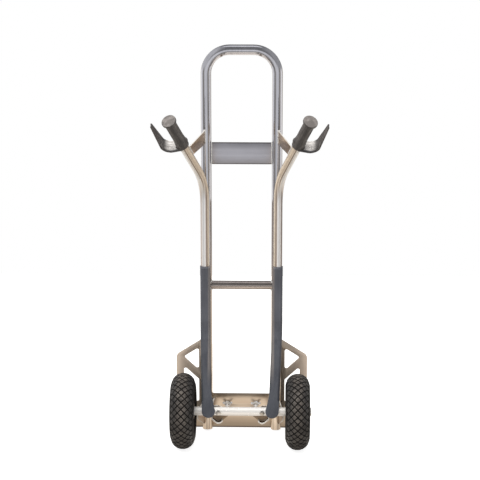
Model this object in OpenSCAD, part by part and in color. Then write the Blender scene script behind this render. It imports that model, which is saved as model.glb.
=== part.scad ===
// Upright two-wheeled aluminium hand truck with stair skids and guarded safety grips.
// +X is to the right seen from behind, +Y points forward over the toe blade, +Z is up.
// The origin lies on the floor, in the middle of the heel where the blade's flat underside starts.

/* [Main frame] */
// Height of the top of the hoop above the floor
frame_height = 1360; // [1150:5:1500]
// Width over the outsides of the two main tubes
frame_width = 276; // [250:1:330]
// Outside diameter of the main tube
main_tube_d = 35; // [30:0.5:40]
// Wall of the main tube
main_tube_wall = 2; // [1.5:0.25:3.5]
// Centreline radius of the two bends of the hoop
hoop_bend_r = 80; // [60:1:95]
// Height of the feet of the main tube above the floor
foot_lift = 6; // [3:0.5:12]

/* [Cross members] */
// Height of the middle of the top cross plate
top_plate_z = 992; // [960:1:1010]
// Height of the face of the top cross plate
top_plate_h = 75; // [60:1:90]
// Thickness of the top cross plate
top_plate_t = 4; // [3:0.25:6]
// Height of the middle of the round crossbar
crossbar_z = 530; // [450:1:600]
// Outside diameter of the round crossbar
crossbar_d = 30; // [24:0.5:32]
// Wall of the round crossbar
crossbar_wall = 2; // [1.5:0.25:3]
// Height of the bottom edge of the lower cross plate
lower_plate_z = 20; // [14:0.5:30]
// Height of the face of the lower cross plate
lower_plate_h = 105; // [100:1:110]
// Thickness of the lower cross plate
lower_plate_t = 5; // [4:0.25:6]

/* [Handle tubes] */
// Outside diameter of the handle tubes
handle_d = 30; // [26:0.5:32]
// Wall of the handle tubes
handle_wall = 2; // [1.5:0.25:3]
// How far the handle tubes stand outboard of the main tubes
handle_offset = 4; // [0:0.5:8]
// Height at which the upright and sloping runs of a handle tube would meet
handle_corner_z = 898; // [860:1:910]
// Slope of the upper run away from the vertical
handle_lean = 46.5; // [40:0.5:50]
// Turn of the upper run outward from straight back
handle_splay = 24; // [18:0.5:28]
// Length from that meeting point to the end of the tube
handle_run = 346; // [330:1:380]
// Centreline radius of the upper bend
handle_bend_r = 165; // [120:1:180]
// Centreline radius of the lower bend
tail_bend_r = 150; // [100:1:200]
// Slope of the lower run away from the vertical
tail_lean = 30; // [24:0.5:34]
// How far the lower end of a handle tube stands inboard of its upright run
tail_inset = 10; // [4:0.5:12]

/* [Gussets] */
// Thickness of the gusset plates
gusset_t = 4; // [3:0.25:6]
// Height of the lower edge of a gusset at the main tube
gusset_z = 1028; // [1015:1:1040]
// Length of a gusset's edge at the main tube
gusset_h = 47; // [40:1:55]
// Width of a gusset where it meets the handle tube
gusset_end_h = 44; // [36:1:48]
// Distance from the end of the handle tube to the middle of a gusset's outer end
gusset_back = 170; // [166:1:185]

/* [Safety grips] */
// Outside diameter of the grip sleeve
grip_d = 38; // [35:0.5:42]
// Length of the grip moulding along the tube
grip_len = 131; // [120:1:140]
// Diameter of the flange at the end of the grip
grip_flange_d = 49; // [44:0.5:52]
// Length of the flange at the end of the grip
grip_flange_l = 9; // [6:0.5:14]
// Thickness of the closed end of the grip
grip_cap_t = 5; // [3:0.5:8]
// Diameter of the thumb stop at the root of the grip
thumb_stop_d = 24; // [20:0.5:28]
// Distance from the axis of the grip to the middle of the guard
guard_reach = 63; // [58:0.5:72]
// Thickness of the guard
guard_t = 5; // [3.5:0.25:7]
// Width of the guard at its root
guard_root_w = 46; // [36:0.5:52]
// Width of the guard at its tip
guard_tip_w = 16; // [12:0.5:20]
// Turn of the guard below the level line outboard of the grip
guard_turn = 16; // [0:1:30]

/* [Stair skids] */
// Width of the skid profile
skid_w = 35; // [34:0.5:40]
// Thickness of the sliding face of the skid
skid_face_t = 5; // [4:0.25:7]
// How far the sides of the skid reach past the middle of the tube
skid_cover = 3; // [0:0.5:8]
// Height of the upper end of the skid
skid_top_z = 606; // [560:1:700]
// Width of the rounded lower end of the skid
skid_tip_w = 45; // [42:0.5:49]
// How far the middle of the lower end stands inboard of the skid's own middle
skid_tip_in = 5; // [3.5:0.5:7]
// Length of the lower end below the middle of the axle
skid_tip_drop = 27; // [22:0.5:32]

/* [Toe plate] */
// Width of the toe plate
toe_w = 460; // [420:1:520]
// Depth of the blade from the heel to its front edge
toe_depth = 220; // [160:1:300]
// Thickness of the toe plate
toe_t = 5; // [4:0.25:6]
// Inside radius of the fold at the heel
toe_fold_r = 5; // [4:0.25:8]
// Height of the upstand between the main tubes
toe_mid_h = 129; // [127:0.5:150]
// Height of the wings where they meet the main tubes
wing_root_z = 330; // [320:1:350]
// Fall of the wing's upper edge for each unit of width
wing_slope = 0.63; // [0.5:0.01:0.7]
// Radius of the corners of the wings
wing_corner_r = 22; // [10:1:30]
// Width of the rim outboard of the cut-outs of a wing
wing_rim = 26; // [18:0.5:30]
// Height of the rim above the upper cut-out of a wing
wing_top_rim = 24; // [20:0.5:32]
// Height of the sloping brace between the cut-outs of a wing
wing_brace = 34; // [28:0.5:40]
// Fall of that brace for each unit of width
brace_slope = 0.92; // [0.8:0.01:1]
// Height of the lower edge of the lower cut-out of a wing
window_low_z = 100; // [60:1:115]
// Radius of the corners of the cut-outs
window_r = 6; // [4:0.5:8]
// Distance of the toe plate's bolts from the middle
toe_bolt_x = 50; // [40:0.5:60]
// Height of the toe plate's bolts
toe_bolt_z = 92.5; // [88:0.5:98]
// Thread diameter of the toe plate's bolts
toe_bolt_d = 10; // [8:0.5:10]

/* [Axle] */
// Distance from the middle of the main tubes back to the axle
axle_back = 175; // [165:1:190]
// Outside diameter of the axle tube
axle_tube_d = 30; // [28:0.5:34]
// Diameter of the axle rod
axle_rod_d = 20; // [18:0.5:20]
// Thickness of the sheet of the axle brackets
bracket_t = 4; // [3:0.25:5]
// How far the axle bolts stand inboard of the lower ends of the handle tubes
axle_bolt_in = 40; // [38:0.5:46]
// Thread diameter of the axle bolts
axle_bolt_d = 9.5; // [8:0.5:10.5]
// How far the rear ends of the outer cheek plates stand out from the main tubes
cheek_flare = 16; // [8:0.5:18]
// Depth of the lip along the lower edge of the axle brackets
bracket_lip = 16; // [10:0.5:20]
// Height of the lowest edge of the axle brackets
bracket_low_z = 80; // [72:1:90]

/* [Wheels] */
// Outside diameter of the tyres
tyre_d = 260; // [250:1:280]
// Width of the tyres
tyre_w = 84; // [76:1:90]
// Gap between a handle tube and the side of its tyre
wheel_gap = 13.5; // [10:0.5:30]
// Number of tread blocks around a tyre in each column
tread_n = 34; // [28:1:40]
// Number of columns of tread blocks
tread_columns = 7; // [5:2:9]
// Depth of the tread grooves
tread_h = 3; // [2:0.25:4]
// Radius of the bead seat of the rim
rim_seat_r = 50; // [46:0.5:54]
// Thickness of the rim's sheet
rim_t = 2.5; // [2:0.25:3]
// Width of the rim over its flanges
rim_w = 62; // [56:1:68]
// Length of the hub
hub_len = 74; // [66:0.5:80]
// Outside diameter of the bearings
bearing_d = 47; // [42:0.5:50]
// Width of the bearings
bearing_w = 14; // [12:0.5:16]
// Radius of the circle of rim bolts
rim_bolt_r = 37; // [35:0.5:39]

/* [Hidden] */
$fn = 64;

// Gap left for the weld or the seat between two pieces of the frame
seat_gap = 0.1;
// Radial clearance of a turning bore on its pin
run_gap = 0.05;
// Clearance between faces that turn past each other
face_gap = 0.25;
// Extra length of a cutting shape beyond what it cuts
over = 1;
// A bend is this much fuller than the straight runs that lap into its ends
bend_swell = 0.15;
bend_lap = 1.5;

toe_front_y = -toe_fold_r;
toe_back_y = toe_front_y - toe_t;
main_r = main_tube_d / 2;
main_x = frame_width / 2 - main_r;
main_y = toe_back_y - seat_gap - main_r;
hoop_axis_z = frame_height - main_r;
hoop_bend_z = hoop_axis_z - hoop_bend_r;

handle_r = handle_d / 2;
handle_x = main_x + handle_offset;
handle_gap = main_r + handle_r + seat_gap + bend_swell;
handle_y = main_y - sqrt(pow(handle_gap, 2) - pow(handle_offset, 2));
handle_bend_z = handle_corner_z - handle_bend_r * tan(handle_lean / 2);
handle_straight = handle_run - handle_bend_r * tan(handle_lean / 2);

axle_r = axle_tube_d / 2;
axle_y = main_y - axle_back;
axle_z = tyre_d / 2;
tail_x = handle_x - tail_inset;
axle_bolt_x = tail_x - axle_bolt_in;
tail_turn = atan2(tail_inset, handle_y - axle_y);
tail_reach = norm([tail_inset, handle_y - axle_y]);
tail_corner_z = axle_z + tail_reach / tan(tail_lean);
tail_bend_z = tail_corner_z + tail_bend_r * tan(tail_lean / 2);
tail_len = tail_reach / sin(tail_lean) - tail_bend_r * tan(tail_lean / 2);
// The coped tail of a handle tube stops this short of the middle of the axle
tail_stop = 4;

skid_bore_r = handle_r + seat_gap + 2 * bend_swell;
skid_depth = max(skid_bore_r, axle_r + seat_gap) + skid_face_t;
skid_chamfer = 6;

grip_bore_r = handle_r + seat_gap;
guard_bend_r = guard_reach / 2;

lower_plate_y = toe_back_y - seat_gap;
toe_washer_t = 2;
toe_washer_y = lower_plate_y - lower_plate_t - seat_gap;
toe_nut_y = toe_washer_y - toe_washer_t - face_gap;
toe_nut_h = 12;
toe_bolt_end = 6;

hub_gap = face_gap;
wheel_x = handle_x + handle_r + wheel_gap + tyre_w / 2;
washer_t = 3;
hub_in_x = wheel_x - hub_len / 2;
hub_out_x = wheel_x + hub_len / 2;
axle_half = hub_in_x - hub_gap - washer_t - seat_gap;
cap_t = 10;
cap_d = axle_rod_d + 8;
cap_bore = 6;

tyre_r = tyre_d / 2;
section_r = tyre_w / 2;
section_c = tyre_r - section_r;
tread_arc = 116;
tread_steps = tread_columns + 1;
tread_inset = 0.8;
bead_r = (rim_seat_r + seat_gap) / cos(180 / tread_n);
bead_w = rim_w / 2 - rim_t - seat_gap;
tube_r = section_r - 10.5;
tube_fit = 0.3;
tube_wall = 2.5;
cavity_step = 38;
cavity_r = (tube_r + tube_fit) / cos(cavity_step / 2) / cos(180 / tread_n);
flange_h = 8;
hub_wall = 3;
hub_r = bearing_d / 2 + run_gap + hub_wall;
rim_bolt_d = 8;
rim_bolts = 4;
valve_d = 8;
valve_len = 16;
valve_w = rim_w / 4;

alu_cool = [0.72, 0.73, 0.76];
alu_warm = [0.78, 0.73, 0.66];
steel = [0.80, 0.80, 0.80];
skid_grey = [0.34, 0.35, 0.38];
grip_grey = [0.36, 0.34, 0.33];
tyre_black = [0.22, 0.21, 0.20];

function unit(v) = v / norm(v);
function spun(v, a) = [v.x * cos(a) - v.y * sin(a), v.x * sin(a) + v.y * cos(a)];

// Points of a fillet of radius r at corner p between its neighbours a and b
function fillet(a, p, b, r, steps = 6) =
    let (
        u = unit(a - p),
        w = unit(b - p),
        half = acos(u * w) / 2,
        c = p + unit(u + w) * r / sin(half),
        from = p + u * r / tan(half) - c,
        to = p + w * r / tan(half) - c,
        sweep = sign(cross(from, to)) * (180 - 2 * half)
    )
    [for (k = [0:steps]) c + spun(from, sweep * k / steps)];

// Outline through pts, given as [x, y, fillet radius]; a radius of 0 keeps the corner sharp
function rounded(pts) =
    let (n = len(pts))
    [
        for (i = [0:n - 1])
            let (
                p = pts[i],
                a = pts[(i + n - 1) % n],
                b = pts[(i + 1) % n]
            )
            each p[2] > 0
                ? fillet([a.x, a.y], [p.x, p.y], [b.x, b.y], p[2])
                : [[p.x, p.y]]
    ];

// Shows its children on the right, or mirrored on the left
module on_side(side) {
    mirror([side < 0 ? 1 : 0, 0, 0])
        children();
}

module ring(d, wall) {
    difference() {
        circle(d = d);
        circle(d = d - 2 * wall);
    }
}

module swollen_ring(d, wall) {
    ring(d + 2 * bend_swell, wall + 2 * bend_swell);
}

// Sweeps a flat profile round a bend that starts upward at the origin and turns toward +X
module bend(r, angle) {
    translate([r, 0, 0])
        rotate([90, 0, 180])
            rotate_extrude(angle = angle, $fn = 96)
                translate([r, 0])
                    children();
}

// Moves its children to the end of such a bend
module after_bend(r, angle) {
    translate([r * (1 - cos(angle)), 0, r * sin(angle)])
        rotate([0, angle, 0])
            children();
}

// A cylinder along X, centred on the axle
module along_axle(d, h) {
    translate([0, axle_y, axle_z])
        rotate([0, 90, 0])
            cylinder(d = d, h = h, center = true);
}

// Keeps the main tubes' room free in a piece that is welded between or against them
module main_tube_room() {
    for (side = [-1, 1])
        translate([side * main_x, main_y, -over])
            cylinder(r = main_r + seat_gap, h = frame_height);
}

module main_loop() {
    leg = hoop_bend_z - foot_lift;
    color(alu_cool) {
        for (side = [-1, 1])
            on_side(side)
                translate([main_x, main_y, foot_lift]) {
                    linear_extrude(leg)
                        ring(main_tube_d, main_tube_wall);
                    translate([0, 0, leg])
                        rotate([0, 0, 180])
                            bend(hoop_bend_r, 90)
                                ring(main_tube_d, main_tube_wall);
                }
        translate([0, main_y, hoop_axis_z])
            rotate([0, 90, 0])
                linear_extrude(2 * (main_x - hoop_bend_r), center = true)
                    ring(main_tube_d, main_tube_wall);
    }
}

module top_cross_plate() {
    color(alu_cool)
        difference() {
            translate([-main_x, main_y - top_plate_t / 2, top_plate_z - top_plate_h / 2])
                cube([2 * main_x, top_plate_t, top_plate_h]);
            main_tube_room();
        }
}

module mid_crossbar() {
    color(alu_cool)
        difference() {
            translate([0, main_y, crossbar_z])
                rotate([0, 90, 0])
                    linear_extrude(2 * (main_x - tail_stop), center = true)
                        ring(crossbar_d, crossbar_wall);
            main_tube_room();
        }
}

module lower_cross_plate() {
    half = main_x - main_r / 2;
    color(alu_warm)
        difference() {
            translate([-half, lower_plate_y - lower_plate_t, lower_plate_z])
                cube([2 * half, lower_plate_t, lower_plate_h]);
            main_tube_room();
            toe_bolt_holes();
        }
}

// Upper run of a handle tube: children are drawn in the frame of the tube's end, along +Z
module at_handle_end() {
    translate([handle_x, handle_y, handle_bend_z])
        rotate([0, 0, handle_splay - 90])
            after_bend(handle_bend_r, handle_lean)
                translate([0, 0, handle_straight])
                    children();
}

// Lower run of a handle tube: children are drawn downward from the lower bend, which turns to +X
module at_tail() {
    translate([handle_x, handle_y, tail_bend_z])
        rotate([180, 0, -90 - tail_turn])
            children();
}

module handle_tube() {
    color(alu_warm)
        difference() {
            union() {
                at_tail() {
                    bend(tail_bend_r, tail_lean)
                        swollen_ring(handle_d, handle_wall);
                    after_bend(tail_bend_r, tail_lean)
                        translate([0, 0, -bend_lap])
                            linear_extrude(tail_len - tail_stop + bend_lap)
                                ring(handle_d, handle_wall);
                }
                translate([handle_x, handle_y, tail_bend_z - bend_lap])
                    linear_extrude(handle_bend_z - tail_bend_z + 2 * bend_lap)
                        ring(handle_d, handle_wall);
                translate([handle_x, handle_y, handle_bend_z])
                    rotate([0, 0, handle_splay - 90])
                        bend(handle_bend_r, handle_lean)
                            swollen_ring(handle_d, handle_wall);
                at_handle_end()
                    translate([0, 0, -handle_straight - bend_lap])
                        linear_extrude(handle_straight + bend_lap)
                            ring(handle_d, handle_wall);
            }
            along_axle(axle_tube_d + 2 * seat_gap, 2 * frame_width);
        }
}

// A flat strap in an upright plane from the main tube to the inner side of the handle tube
module gusset() {
    along = handle_run - gusset_back;
    reach = along * sin(handle_lean);
    end_x = handle_x + reach * sin(handle_splay) - handle_r / 2;
    end_y = handle_y - reach * cos(handle_splay);
    end_z = handle_corner_z + along * cos(handle_lean);
    span = norm([end_x - main_x, end_y - main_y]);
    half = gusset_end_h / 2;
    color(alu_warm)
        difference() {
            translate([main_x, main_y, 0])
                rotate([0, 0, atan2(end_y - main_y, end_x - main_x)])
                    rotate([90, 0, 0])
                        linear_extrude(gusset_t, center = true)
                            polygon([
                                [0, gusset_z],
                                [span - half * sin(handle_lean), end_z - half * cos(handle_lean)],
                                [span + half * sin(handle_lean), end_z + half * cos(handle_lean)],
                                [0, gusset_z + gusset_h]
                            ]);
            main_tube_room();
            at_handle_end()
                translate([0, 0, -handle_straight])
                    cylinder(r = handle_r + seat_gap, h = handle_straight);
            at_handle_end()
                translate([0, -frame_width / 2, -handle_straight])
                    cube([frame_width, frame_width, handle_straight]);
        }
}

// Moulded sleeve with its end flange, thumb stop and knuckle guard, the guard toward +X
module grip() {
    sleeve_r = grip_d / 2;
    flange_r = grip_flange_d / 2;
    edge = 2;
    root_r = sleeve_r + edge;
    tip_r = guard_tip_w / 2;
    bend_x = guard_reach - guard_bend_r;
    bend_z = guard_bend_r + guard_t / 2 - grip_len;
    color(grip_grey)
        at_handle_end()
            rotate([0, 0, 90 - guard_turn])
                difference() {
                    union() {
                        rotate_extrude()
                            polygon(rounded([
                                [0, -grip_len, 0],
                                [root_r, -grip_len, edge],
                                [root_r, -grip_len + guard_root_w / 2, edge],
                                [sleeve_r, -grip_len + guard_root_w, edge],
                                [sleeve_r, grip_cap_t - grip_flange_l, 0],
                                [flange_r, grip_cap_t - grip_flange_l, edge],
                                [flange_r, grip_cap_t, edge],
                                [0, grip_cap_t + edge, 0]
                            ]));
                        translate([thumb_stop_d / 4 - sleeve_r, 0, thumb_stop_d - grip_len])
                            sphere(d = thumb_stop_d);
                        intersection() {
                            union() {
                                translate([0, -guard_root_w / 2, -grip_len])
                                    cube([bend_x, guard_root_w, guard_t]);
                                translate([bend_x, 0, bend_z])
                                    rotate([90, 90, 0])
                                        rotate_extrude(angle = 90)
                                            translate([guard_bend_r, 0])
                                                square([guard_t, guard_root_w], center = true);
                                translate([guard_reach - guard_t / 2, -guard_root_w / 2, bend_z])
                                    cube([guard_t, guard_root_w, -bend_z]);
                            }
                            rotate([90, 0, 90])
                                linear_extrude(2 * guard_reach)
                                    polygon(rounded([
                                        [-guard_root_w / 2, -2 * grip_len, 0],
                                        [guard_root_w / 2, -2 * grip_len, 0],
                                        [guard_root_w / 2, bend_z, tip_r],
                                        [tip_r, 0, edge],
                                        [0, -tip_r / 2, edge],
                                        [-tip_r, 0, edge],
                                        [-guard_root_w / 2, bend_z, tip_r]
                                    ]));
                        }
                    }
                    translate([0, 0, -2 * grip_len])
                        cylinder(r = grip_bore_r, h = 2 * grip_len + seat_gap);
                }
}

// Section of the skid: a channel over the back of the tube, its sliding face toward +X
module skid_profile(swell = 0) {
    half = skid_w / 2 + swell;
    back = skid_depth + swell;
    front = -skid_cover - swell;
    difference() {
        polygon([
            [front, -half],
            [back - skid_chamfer, -half],
            [back, -half + skid_chamfer],
            [back, half - skid_chamfer],
            [back - skid_chamfer, half],
            [front, half]
        ]);
        circle(r = skid_bore_r - swell);
    }
}

module skid() {
    side_end = tail_len - axle_r - 2 * skid_chamfer;
    tip_end = tail_len + skid_tip_drop;
    tip_r = skid_tip_w / 2;
    flare = 1.5 * skid_w;
    bevel = 60;
    run = skid_top_z - tail_bend_z;
    color(skid_grey) {
        translate([handle_x, handle_y, tail_bend_z - bend_lap])
            rotate([0, 0, -90 - tail_turn])
                difference() {
                    linear_extrude(run + bend_lap)
                        skid_profile();
                    translate([skid_bore_r + over, 0, run + bend_lap])
                        rotate([0, bevel, 0])
                            translate([-skid_w, -skid_w, 0])
                                cube(2 * skid_w);
                }
        difference() {
            at_tail() {
                bend(tail_bend_r, tail_lean)
                    mirror([1, 0])
                        skid_profile(bend_swell);
                after_bend(tail_bend_r, tail_lean) {
                    translate([0, 0, -bend_lap])
                        linear_extrude(side_end + bend_lap)
                            skid_profile();
                    translate([skid_depth - skid_face_t, 0, 0])
                        rotate([90, 0, 90])
                            linear_extrude(skid_face_t)
                                union() {
                                    translate([skid_tip_in, tip_end - tip_r])
                                        circle(r = tip_r);
                                    polygon([
                                        [-skid_w / 2 + skid_chamfer, side_end - skid_chamfer],
                                        [-skid_w / 2, side_end],
                                        [skid_tip_in - tip_r, tip_end - tip_r],
                                        [skid_tip_in + tip_r, tip_end - tip_r],
                                        [skid_w / 2 - skid_chamfer, side_end - flare]
                                    ]);
                                }
                }
            }
            along_axle(axle_tube_d + 2 * seat_gap, 2 * frame_width);
        }
    }
}

module toe_bolt_holes() {
    for (side = [-1, 1])
        translate([side * toe_bolt_x, 0, toe_bolt_z])
            rotate([90, 0, 0])
                cylinder(d = toe_bolt_d + 2 * seat_gap, h = 2 * axle_back, center = true);
}

module toe_plate() {
    half = toe_w / 2;
    inner = main_x - main_r;
    root = main_x + main_r;
    bottom = toe_t + toe_fold_r;
    outer_z = wing_root_z - wing_slope * (half - root);
    window_in = root + wing_rim / 2;
    window_out = half - wing_rim;
    color(alu_warm)
        difference() {
            union() {
                translate([0, toe_back_y + toe_t, 0])
                    rotate([90, 0, 0])
                        linear_extrude(toe_t)
                            difference() {
                                polygon(rounded([
                                    [-half, bottom, 0],
                                    [half, bottom, 0],
                                    [half, outer_z, wing_corner_r],
                                    [root, wing_root_z, wing_corner_r],
                                    [inner, wing_root_z, wing_corner_r],
                                    [inner, toe_mid_h, window_r],
                                    [-inner, toe_mid_h, window_r],
                                    [-inner, wing_root_z, wing_corner_r],
                                    [-root, wing_root_z, wing_corner_r],
                                    [-half, outer_z, wing_corner_r]
                                ]));
                                for (side = [-1, 1])
                                    mirror([side < 0 ? 1 : 0, 0])
                                        wing_windows(window_in, window_out, root);
                            }
                translate([0, 0, bottom])
                    rotate([90, 0, 90])
                        rotate([0, 0, 180])
                            linear_extrude(toe_w, center = true)
                                intersection() {
                                    difference() {
                                        circle(r = bottom);
                                        circle(r = toe_fold_r);
                                    }
                                    square(bottom);
                                }
                rotate([90, 0, 90])
                    linear_extrude(toe_w, center = true)
                        polygon([
                            [0, 0],
                            [toe_depth, 0],
                            [toe_depth, toe_t / 3],
                            [toe_depth - 4 * toe_t, toe_t],
                            [0, toe_t]
                        ]);
            }
            toe_bolt_holes();
        }
}

// The two cut-outs of a wing, parted by a sloping brace
module wing_windows(x_in, x_out, root) {
    top = wing_root_z - wing_top_rim - (x_in - root) * wing_slope;
    side = top - (x_out - x_in) * wing_slope;
    foot = side - (x_out - x_in) * brace_slope;
    polygon(rounded([
        [x_in, top, window_r],
        [x_in, foot, window_r],
        [x_out, side, window_r]
    ]));
    polygon(rounded([
        [x_out, side - wing_brace, window_r],
        [x_in, foot - wing_brace, window_r],
        [x_in, window_low_z, window_r],
        [x_out, window_low_z, window_r]
    ]));
}

module toe_bolts() {
    head_d = 2.2 * toe_bolt_d;
    head_h = toe_bolt_d / 2;
    tail_y = toe_nut_y - toe_nut_h - toe_bolt_end;
    color(steel)
        for (side = [-1, 1])
            translate([side * toe_bolt_x, toe_front_y + seat_gap, toe_bolt_z])
                rotate([-90, 0, 0])
                    rotate_extrude()
                        polygon([
                            [0, tail_y - toe_front_y],
                            [toe_bolt_d / 2 - over, tail_y - toe_front_y],
                            [toe_bolt_d / 2, tail_y - toe_front_y + over],
                            [toe_bolt_d / 2, 0],
                            [head_d / 2, 0],
                            [head_d / 2 - over, head_h / 2],
                            [head_d / 4, head_h],
                            [0, head_h]
                        ]);
}

module toe_washers() {
    color(steel)
        for (side = [-1, 1])
            translate([side * toe_bolt_x, toe_washer_y, toe_bolt_z])
                rotate([90, 0, 0])
                    linear_extrude(toe_washer_t)
                        ring(2.2 * toe_bolt_d, 0.6 * toe_bolt_d - seat_gap);
}

// Wing nut with two upright lobes, its seat toward the plate
module wing_nut(side) {
    hub = 1.9 * toe_bolt_d;
    wing = 2.3 * toe_bolt_d;
    lobe = 0.5 * toe_bolt_d;
    rise = 35;
    color(steel)
        translate([side * toe_bolt_x, toe_nut_y, toe_bolt_z])
            rotate([90, 0, 0])
                difference() {
                    union() {
                        cylinder(d1 = hub, d2 = 0.85 * hub, h = toe_nut_h);
                        for (turn = [rise, 180 - rise])
                            rotate([0, 0, turn])
                                rotate([90, 0, 0])
                                    linear_extrude(lobe, center = true)
                                        polygon(rounded([
                                            [0.6 * toe_bolt_d, toe_nut_h / 4, 0],
                                            [wing - 2 * lobe, toe_nut_h / 2, lobe],
                                            [wing, 1.5 * toe_nut_h, lobe],
                                            [wing - 1.8 * lobe, 2 * toe_nut_h, lobe],
                                            [0.6 * toe_bolt_d, toe_nut_h, 0]
                                        ]));
                    }
                    translate([0, 0, -over])
                        cylinder(d = toe_bolt_d + 2 * run_gap, h = 3 * toe_nut_h);
                }
}

module axle_tube() {
    color(alu_cool)
        difference() {
            along_axle(axle_tube_d, 2 * axle_half);
            along_axle(axle_rod_d + 2 * seat_gap, 2 * axle_half + 2 * over);
            axle_bolt_holes();
        }
}

module axle_rod() {
    color(steel)
        difference() {
            along_axle(axle_rod_d, 2 * (hub_out_x + hub_gap + cap_bore - seat_gap));
            axle_bolt_holes();
        }
}

module axle_bolt_holes() {
    for (side = [-1, 1])
        translate([side * axle_bolt_x, axle_y, axle_z])
            rotate([90, 0, 0])
                cylinder(d = axle_bolt_d + 2 * seat_gap, h = 4 * axle_r, center = true);
}

// Folded sheet: a lipped triangular ear in front of the axle tube and a leg forward to the lower plate
module axle_bracket() {
    ear_y = axle_y + axle_r + seat_gap;
    leg = lower_plate_y - lower_plate_t - seat_gap - ear_y;
    tip_x = axle_bolt_x / 3;
    fold_x = tail_x - handle_r - seat_gap - 2 * bend_swell - bracket_t;
    nose_r = 14;
    outline = rounded([
        [tip_x, axle_z - axle_r / 2, bracket_t],
        [axle_bolt_x, bracket_low_z, nose_r],
        [fold_x + bracket_t, axle_z - 2 * axle_r, 0],
        [fold_x + bracket_t, axle_z + axle_r, 0],
        [axle_bolt_x, axle_z + axle_r, nose_r]
    ]);
    above_lip = rounded([
        [tip_x, axle_z + axle_r, 0],
        [tip_x, axle_z, 0],
        [axle_bolt_x, bracket_low_z + 1.2 * bracket_t, nose_r],
        [fold_x, axle_z - 2 * axle_r + 1.2 * bracket_t, 0],
        [fold_x, axle_z + axle_r, 0]
    ]);
    color(alu_warm)
        difference() {
            union() {
                translate([0, ear_y + bracket_t, 0])
                    rotate([90, 0, 0]) {
                        linear_extrude(bracket_t)
                            polygon(outline);
                        linear_extrude(bracket_t + bracket_lip)
                            intersection() {
                                difference() {
                                    polygon(outline);
                                    polygon(above_lip);
                                }
                                translate([axle_bolt_x - nose_r, 0])
                                    square([main_x, axle_z - axle_r - bracket_t]);
                            }
                    }
                translate([fold_x, ear_y, 0])
                    rotate([90, 0, 90])
                        linear_extrude(bracket_t)
                            polygon([
                                [0, axle_z - 2 * axle_r],
                                [leg, 2 * lower_plate_z],
                                [leg, axle_z - axle_r],
                                [0, axle_z + axle_r]
                            ]);
            }
            main_tube_room();
            axle_bolt_holes();
        }
}

// Upright plate outboard of the foot, from the main tube back and out to the axle tube
module axle_cheek() {
    cheek_x = main_x + main_r / 2;
    color(alu_warm)
        difference() {
            translate([cheek_x, main_y, 0])
                rotate([90, 0, 90 + atan2(cheek_flare, axle_back)])
                    linear_extrude(bracket_t)
                        polygon(rounded([
                            [0, lower_plate_z, 0],
                            [0, axle_z - axle_r, 0],
                            [-axle_back, axle_z - 2 * tail_stop, 0],
                            [-axle_back, axle_z - 2 * axle_r, 2 * axle_r]
                        ]));
            main_tube_room();
            along_axle(axle_tube_d + 2 * seat_gap, 2 * frame_width);
        }
}

module axle_bolts() {
    head_h = 0.65 * axle_bolt_d;
    shank = 2 * axle_r + bracket_t + 2.2 * axle_bolt_d;
    color(steel)
        for (side = [-1, 1])
            translate([side * axle_bolt_x, axle_y - axle_r - seat_gap, axle_z])
                rotate([-90, 0, 0]) {
                    cylinder(d = axle_bolt_d, h = shank);
                    translate([0, 0, -head_h])
                        cylinder(d = 1.95 * axle_bolt_d, h = head_h, $fn = 6);
                }
}

module axle_nuts() {
    nut_y = axle_y + axle_r + bracket_t + 2 * seat_gap;
    color(steel)
        for (side = [-1, 1])
            translate([side * axle_bolt_x, nut_y, axle_z])
                rotate([-90, 0, 0])
                    difference() {
                        cylinder(d = 1.95 * axle_bolt_d, h = 0.8 * axle_bolt_d, $fn = 6);
                        translate([0, 0, -over])
                            cylinder(d = axle_bolt_d + 2 * seat_gap, h = 2 * axle_bolt_d);
                    }
}

module hub_washers() {
    color(steel)
        for (side = [-1, 1])
            on_side(side)
                translate([axle_half + seat_gap, axle_y, axle_z])
                    rotate([0, 90, 0])
                        linear_extrude(washer_t)
                            ring(axle_rod_d + 12, 6 - seat_gap);
}

// Domed push-on caps on the ends of the axle rod
module axle_caps() {
    dome = cap_t - cap_bore;
    color(steel)
        for (side = [-1, 1])
            on_side(side)
                translate([hub_out_x + hub_gap, axle_y, axle_z])
                    rotate([0, 90, 0])
                        difference() {
                            rotate_extrude()
                                polygon(rounded([
                                    [0, 0, 0],
                                    [cap_d / 2, 0, 0],
                                    [cap_d / 2, cap_t, dome],
                                    [0, cap_t, 0]
                                ]));
                            translate([0, 0, -over])
                                cylinder(d = axle_rod_d + 2 * seat_gap, h = cap_bore + over);
                        }
}

// Draws a piece of a wheel about its own axis, +Z outboard, in its place on the axle
module in_wheel(side) {
    on_side(side)
        translate([wheel_x, axle_y, axle_z])
            rotate([0, 90, 0])
                children();
}

// Point of the tyre's section at angle phi from the crown, r from the section's middle
function section_point(phi, r) = [section_c + r * cos(phi), r * sin(phi)];

// Turns a point [radius, offset] of the section about the wheel's axis
function turned(p, a) = [p.x * cos(a), p.x * sin(a), p.y];

function tread_phi(row) = (row / tread_steps - 0.5) * tread_arc;
function tread_angle(step) = step * 180 / tread_n;

// Rings of the tyre outside the tread, from one edge of the tread round the inside to the other
function carcass_half() = [
    section_point(80, section_r),
    section_point(106, section_r),
    [rim_seat_r + flange_h + tread_h, bead_w],
    [bead_r, bead_w],
    [bead_r, bead_w - 8],
    section_point(3 * cavity_step, cavity_r),
    section_point(2 * cavity_step, cavity_r),
    section_point(cavity_step, cavity_r)
];

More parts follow.
